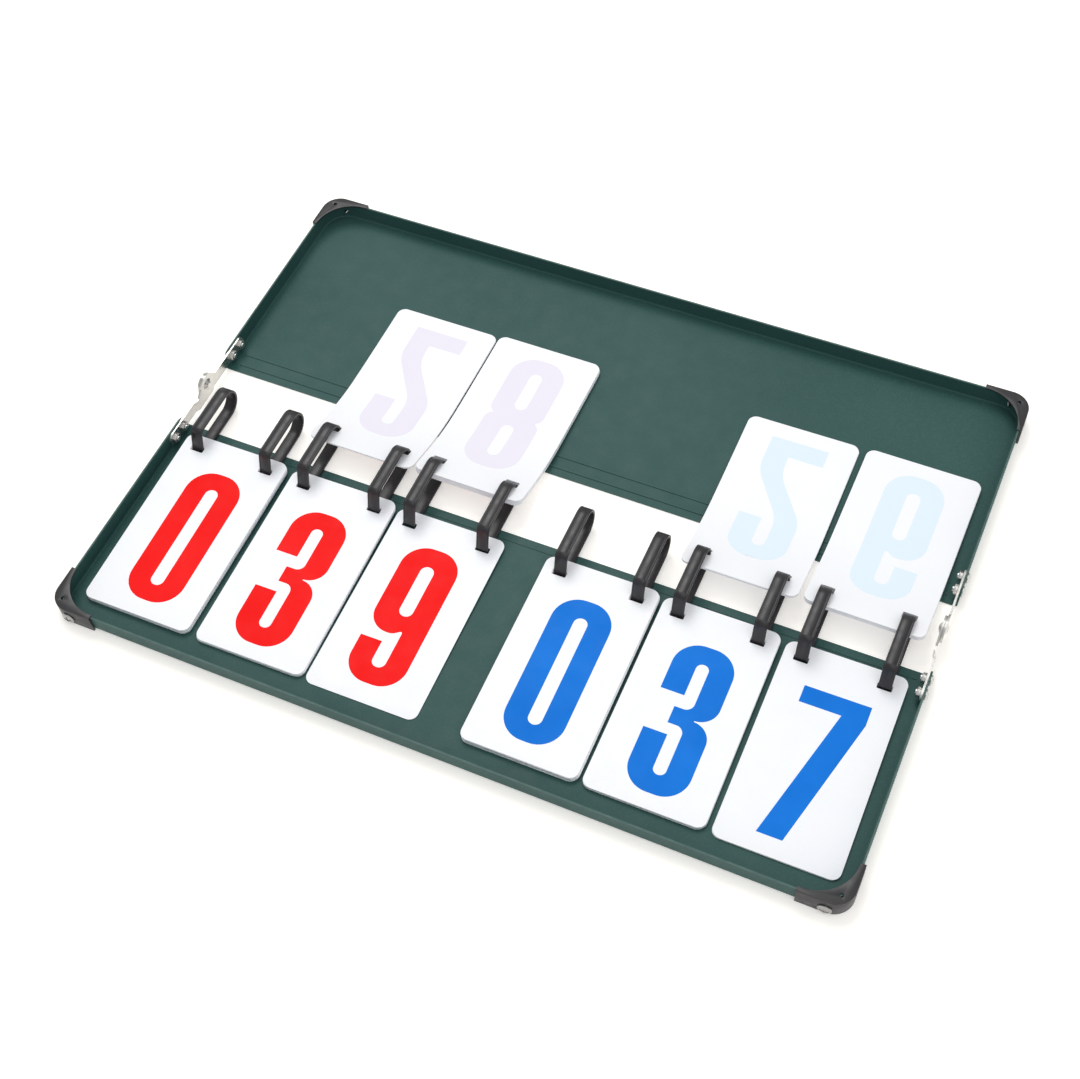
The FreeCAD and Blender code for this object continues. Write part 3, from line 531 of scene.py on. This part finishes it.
def numeral(d):
    if d == 0:
        return loop_box(-22.3, 22.3, -118, 0, 19.5), [loop_box(-5.2, 5.2, -104, -14.6, 5.1)]
    if d == 2:
        return rounded([(-22.3, -41.3, 0), (-22.3, 0, 19), (22.3, 0, 19), (22.3, -46, 26), (-4.6, -84, 34),
                        (-4.6, -101.6, 0), (22.3, -101.6, 0), (22.3, -117.0, 0), (-22.3, -117.0, 0), (-22.3, -84, 30), (5.0, -44, 30),
                        (5.0, -14.2, 4.6), (-4.8, -14.2, 4.6), (-4.8, -41.3, 0)]), []
    if d == 3:
        return rounded([(-22.3, -41.3, 0), (-22.3, 0, 19), (22.3, 0, 19), (22.3, -56, 14), (4.4, -57.6, 0.4),
                        (22.3, -59.2, 14), (22.3, -118, 19), (-22.3, -118, 19), (-22.3, -73.3, 0), (-4.8, -73.3, 0),
                        (-4.8, -103.6, 4.5), (4.5, -103.6, 4.5), (4.5, -64.7, 6), (-8.1, -64.7, 0), (-8.1, -51.4, 0),
                        (4.5, -51.4, 6), (4.5, -14.2, 4.5), (-4.8, -14.2, 4.5), (-4.8, -41.3, 0)]), []
    if d == 7:
        return rounded([(-24, -2, 0), (24, -2, 0), (24, -16.5, 3), (-0.9, -116, 0), (-19.2, -116, 0), (6.4, -15.3, 0),
                        (-24, -15.3, 0)]), []
    if d == 8:
        return rounded([(-22.3, 0, 19), (22.3, 0, 19), (22.3, -55.6, 15), (16.6, -57.4, 0.6), (22.3, -59.2, 15), (22.3, -118, 19),
                        (-22.3, -118, 19), (-22.3, -59.2, 15), (-16.6, -57.4, 0.6), (-22.3, -55.6, 15)]), \
            [loop_box(-5.0, 5.0, -49, -14.6, 5.0), loop_box(-5.0, 5.0, -103.6, -66, 5.0)]
    nine = [(-22.3, -75.9, 16), (-22.3, 0, 19), (22.3, 0, 19), (22.3, -118, 19), (-22.3, -118, 19), (-22.3, -83.7, 0),
            (-5.4, -83.7, 0), (-5.4, -104, 5.1), (5.2, -104, 5.1), (5.2, -70.8, 1.2), (-1.5, -75.9, 9)]
    hole = loop_box(-5.4, 5.2, -59.6, -15.5, 5.2)
    if d == 9:
        return rounded(nine), [hole]
    return [Vector((-p.x, -118 - p.y)) for p in rounded(nine)], [[Vector((-p.x, -118 - p.y)) for p in hole]]


def print_on(name, digit, place, height, thickness, material, body, shift=(0.9, -27.5), flip=False):
    """Lays a numeral on a card at a height over the card's underside."""
    outer, holes = numeral(digit)
    move = lambda p: Vector((p.x + shift[0], p.y + shift[1]))
    filled = flat_fill([move(p) for p in outer], [[move(p) for p in h] for h in holes], 4.0)
    o = slab(name, filled, thickness, place, material, height)
    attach(o, body)
    return o


INK_T = 0.03
SHOWN = {1: 0, 2: 3, 3: 9, 4: 0, 5: 3, 6: 7}
CENTRE = {}
for n, count in FRONT_COUNT.items():
    cad, body = "front_cards_%d" % n, "cards_%d" % n
    lo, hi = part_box(cad)
    cx = CENTRE[n] = (lo.x + hi.x) / 2 / MM
    for i in range(count):
        top = i == count - 1
        yaw = math.radians(FRONT_YAW[n] + random.uniform(-0.14, 0.14) * (not top))
        dx, dy = random.uniform(-0.35, 0.35), random.uniform(-0.3, 0.15)
        place = front_place(cx, yaw, dx, dy, i * PITCH)
        o = slab("front_%d_card_%02d" % (n, i + 1), CARD_FILL, CARD_T, place, WHITE_FRONT)
        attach(o, body)
        if i == 0:
            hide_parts(cad)
            g = print_on("front_%d_under_show" % n, 9, place, -0.012, 0.012, GHOST_RED if n < 4 else GHOST_BLUE, body)
        if top:
            d = print_on("front_%d_numeral" % n, SHOWN[n], place, CARD_T, INK_T, RED if n < 4 else BLUE, body, PRINT[n])
for n, count in TURNED_COUNT.items():
    cad, body = "turned_cards_%d" % n, "turned_%d" % n
    lo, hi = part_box(cad)
    cx = (lo.x + hi.x) / 2 / MM
    for i in range(count):
        yaw = math.radians(TURNED_YAW[n] + random.uniform(-0.12, 0.12))
        dx, dy = TURNED_DX[n] + random.uniform(-0.2, 0.1), random.uniform(-0.95, -0.65)
        place = turned_place(cx, yaw, dx, dy, i * PITCH)
        o = slab("turned_%d_card_%02d" % (n, i + 1), TURNED_FILL, CARD_T, place, WHITE_BACK)
        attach(o, body)
        if i == 0:
            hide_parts(cad)
            g = print_on("turned_%d_under_numeral" % n, 0, place, -0.03, 0.03, RED if n < 4 else BLUE, body)
        if i == count - 1:
            d = print_on("turned_%d_show" % n, count - 1, place, CARD_T, 0.012,
                         GHOST_RED if n < 4 else GHOST_BLUE, body)

# ------------------------------------------------------------------ floor, light, camera
m, t, b = new_material("studio_floor")
v = coords(t)
set_in(t, b, Base_Color=blend(t, remap(t, noise(t, v, 3, 2), 0.3, 0.7, 0, 1), (0.955, 0.915, 0.855), (0.96, 0.925, 0.87)),
       Roughness=0.75, Emission_Color=(1.0, 0.995, 0.985, 1.0), Emission_Strength=0.3)
bpy.ops.mesh.primitive_plane_add(size=14, location=(0, 0, -0.0003))
floor = bpy.context.object
floor.name = "studio_floor"
floor.data.materials.append(m)

world = bpy.data.worlds.new("studio") if bpy.context.scene.world is None else bpy.context.scene.world
bpy.context.scene.world = world
world.use_nodes = True
wt = world.node_tree
wt.nodes.clear()
bg = wt.nodes.new("ShaderNodeBackground")
bg.inputs[0].default_value = (0.97, 0.985, 1.0, 1)
bg.inputs[1].default_value = 0.58
wo = wt.nodes.new("ShaderNodeOutputWorld")
wt.links.new(bg.outputs[0], wo.inputs[0])


def area(name, place, target, size, power, colour=(1, 1, 1)):
    data = bpy.data.lights.new(name, "AREA")
    data.shape = "RECTANGLE"
    data.size, data.size_y = size
    data.energy = power
    data.color = colour
    o = bpy.data.objects.new(name, data)
    o.location = place
    o.rotation_euler = (Vector(target) - Vector(place)).to_track_quat("-Z", "Y").to_euler()
    bpy.context.scene.collection.objects.link(o)
    return o


area("key", (-1.35, 1.95, 3.7), (0, 0, 0), (2.2, 2.2), 74, (1.0, 0.99, 0.97))
area("top", (0.9, -0.6, 4.6), (0, 0, 0), (3.4, 3.4), 38)
area("fill", (3.2, -3.0, 3.2), (0, 0, 0), (3.4, 3.4), 21, (0.97, 0.985, 1.0))

cam_data = bpy.data.cameras.new("photo_view")
cam = bpy.data.objects.new("photo_view", cam_data)
bpy.context.scene.collection.objects.link(cam)
cam_data.sensor_fit = "HORIZONTAL"
cam_data.sensor_width = 36.0
cam_data.lens = 1660.58 / 1080 * 36.0
cam_data.clip_start = 0.05
rows = ((0.91237677, 0.40556433, -0.05555361), (0.30941578, -0.7721098, -0.55507507), (-0.26801214, 0.48924843, -0.82994305))
x, y, z = (Vector(r) for r in rows)
cam.matrix_world = Matrix(((x.x, -y.x, -z.x, 0.33103622), (x.y, -y.y, -z.y, -0.62726728), (x.z, -y.z, -z.z, 1.01834737), (0, 0, 0, 1)))
bpy.context.scene.camera = cam
bpy.context.scene.view_settings.view_transform = "Standard"
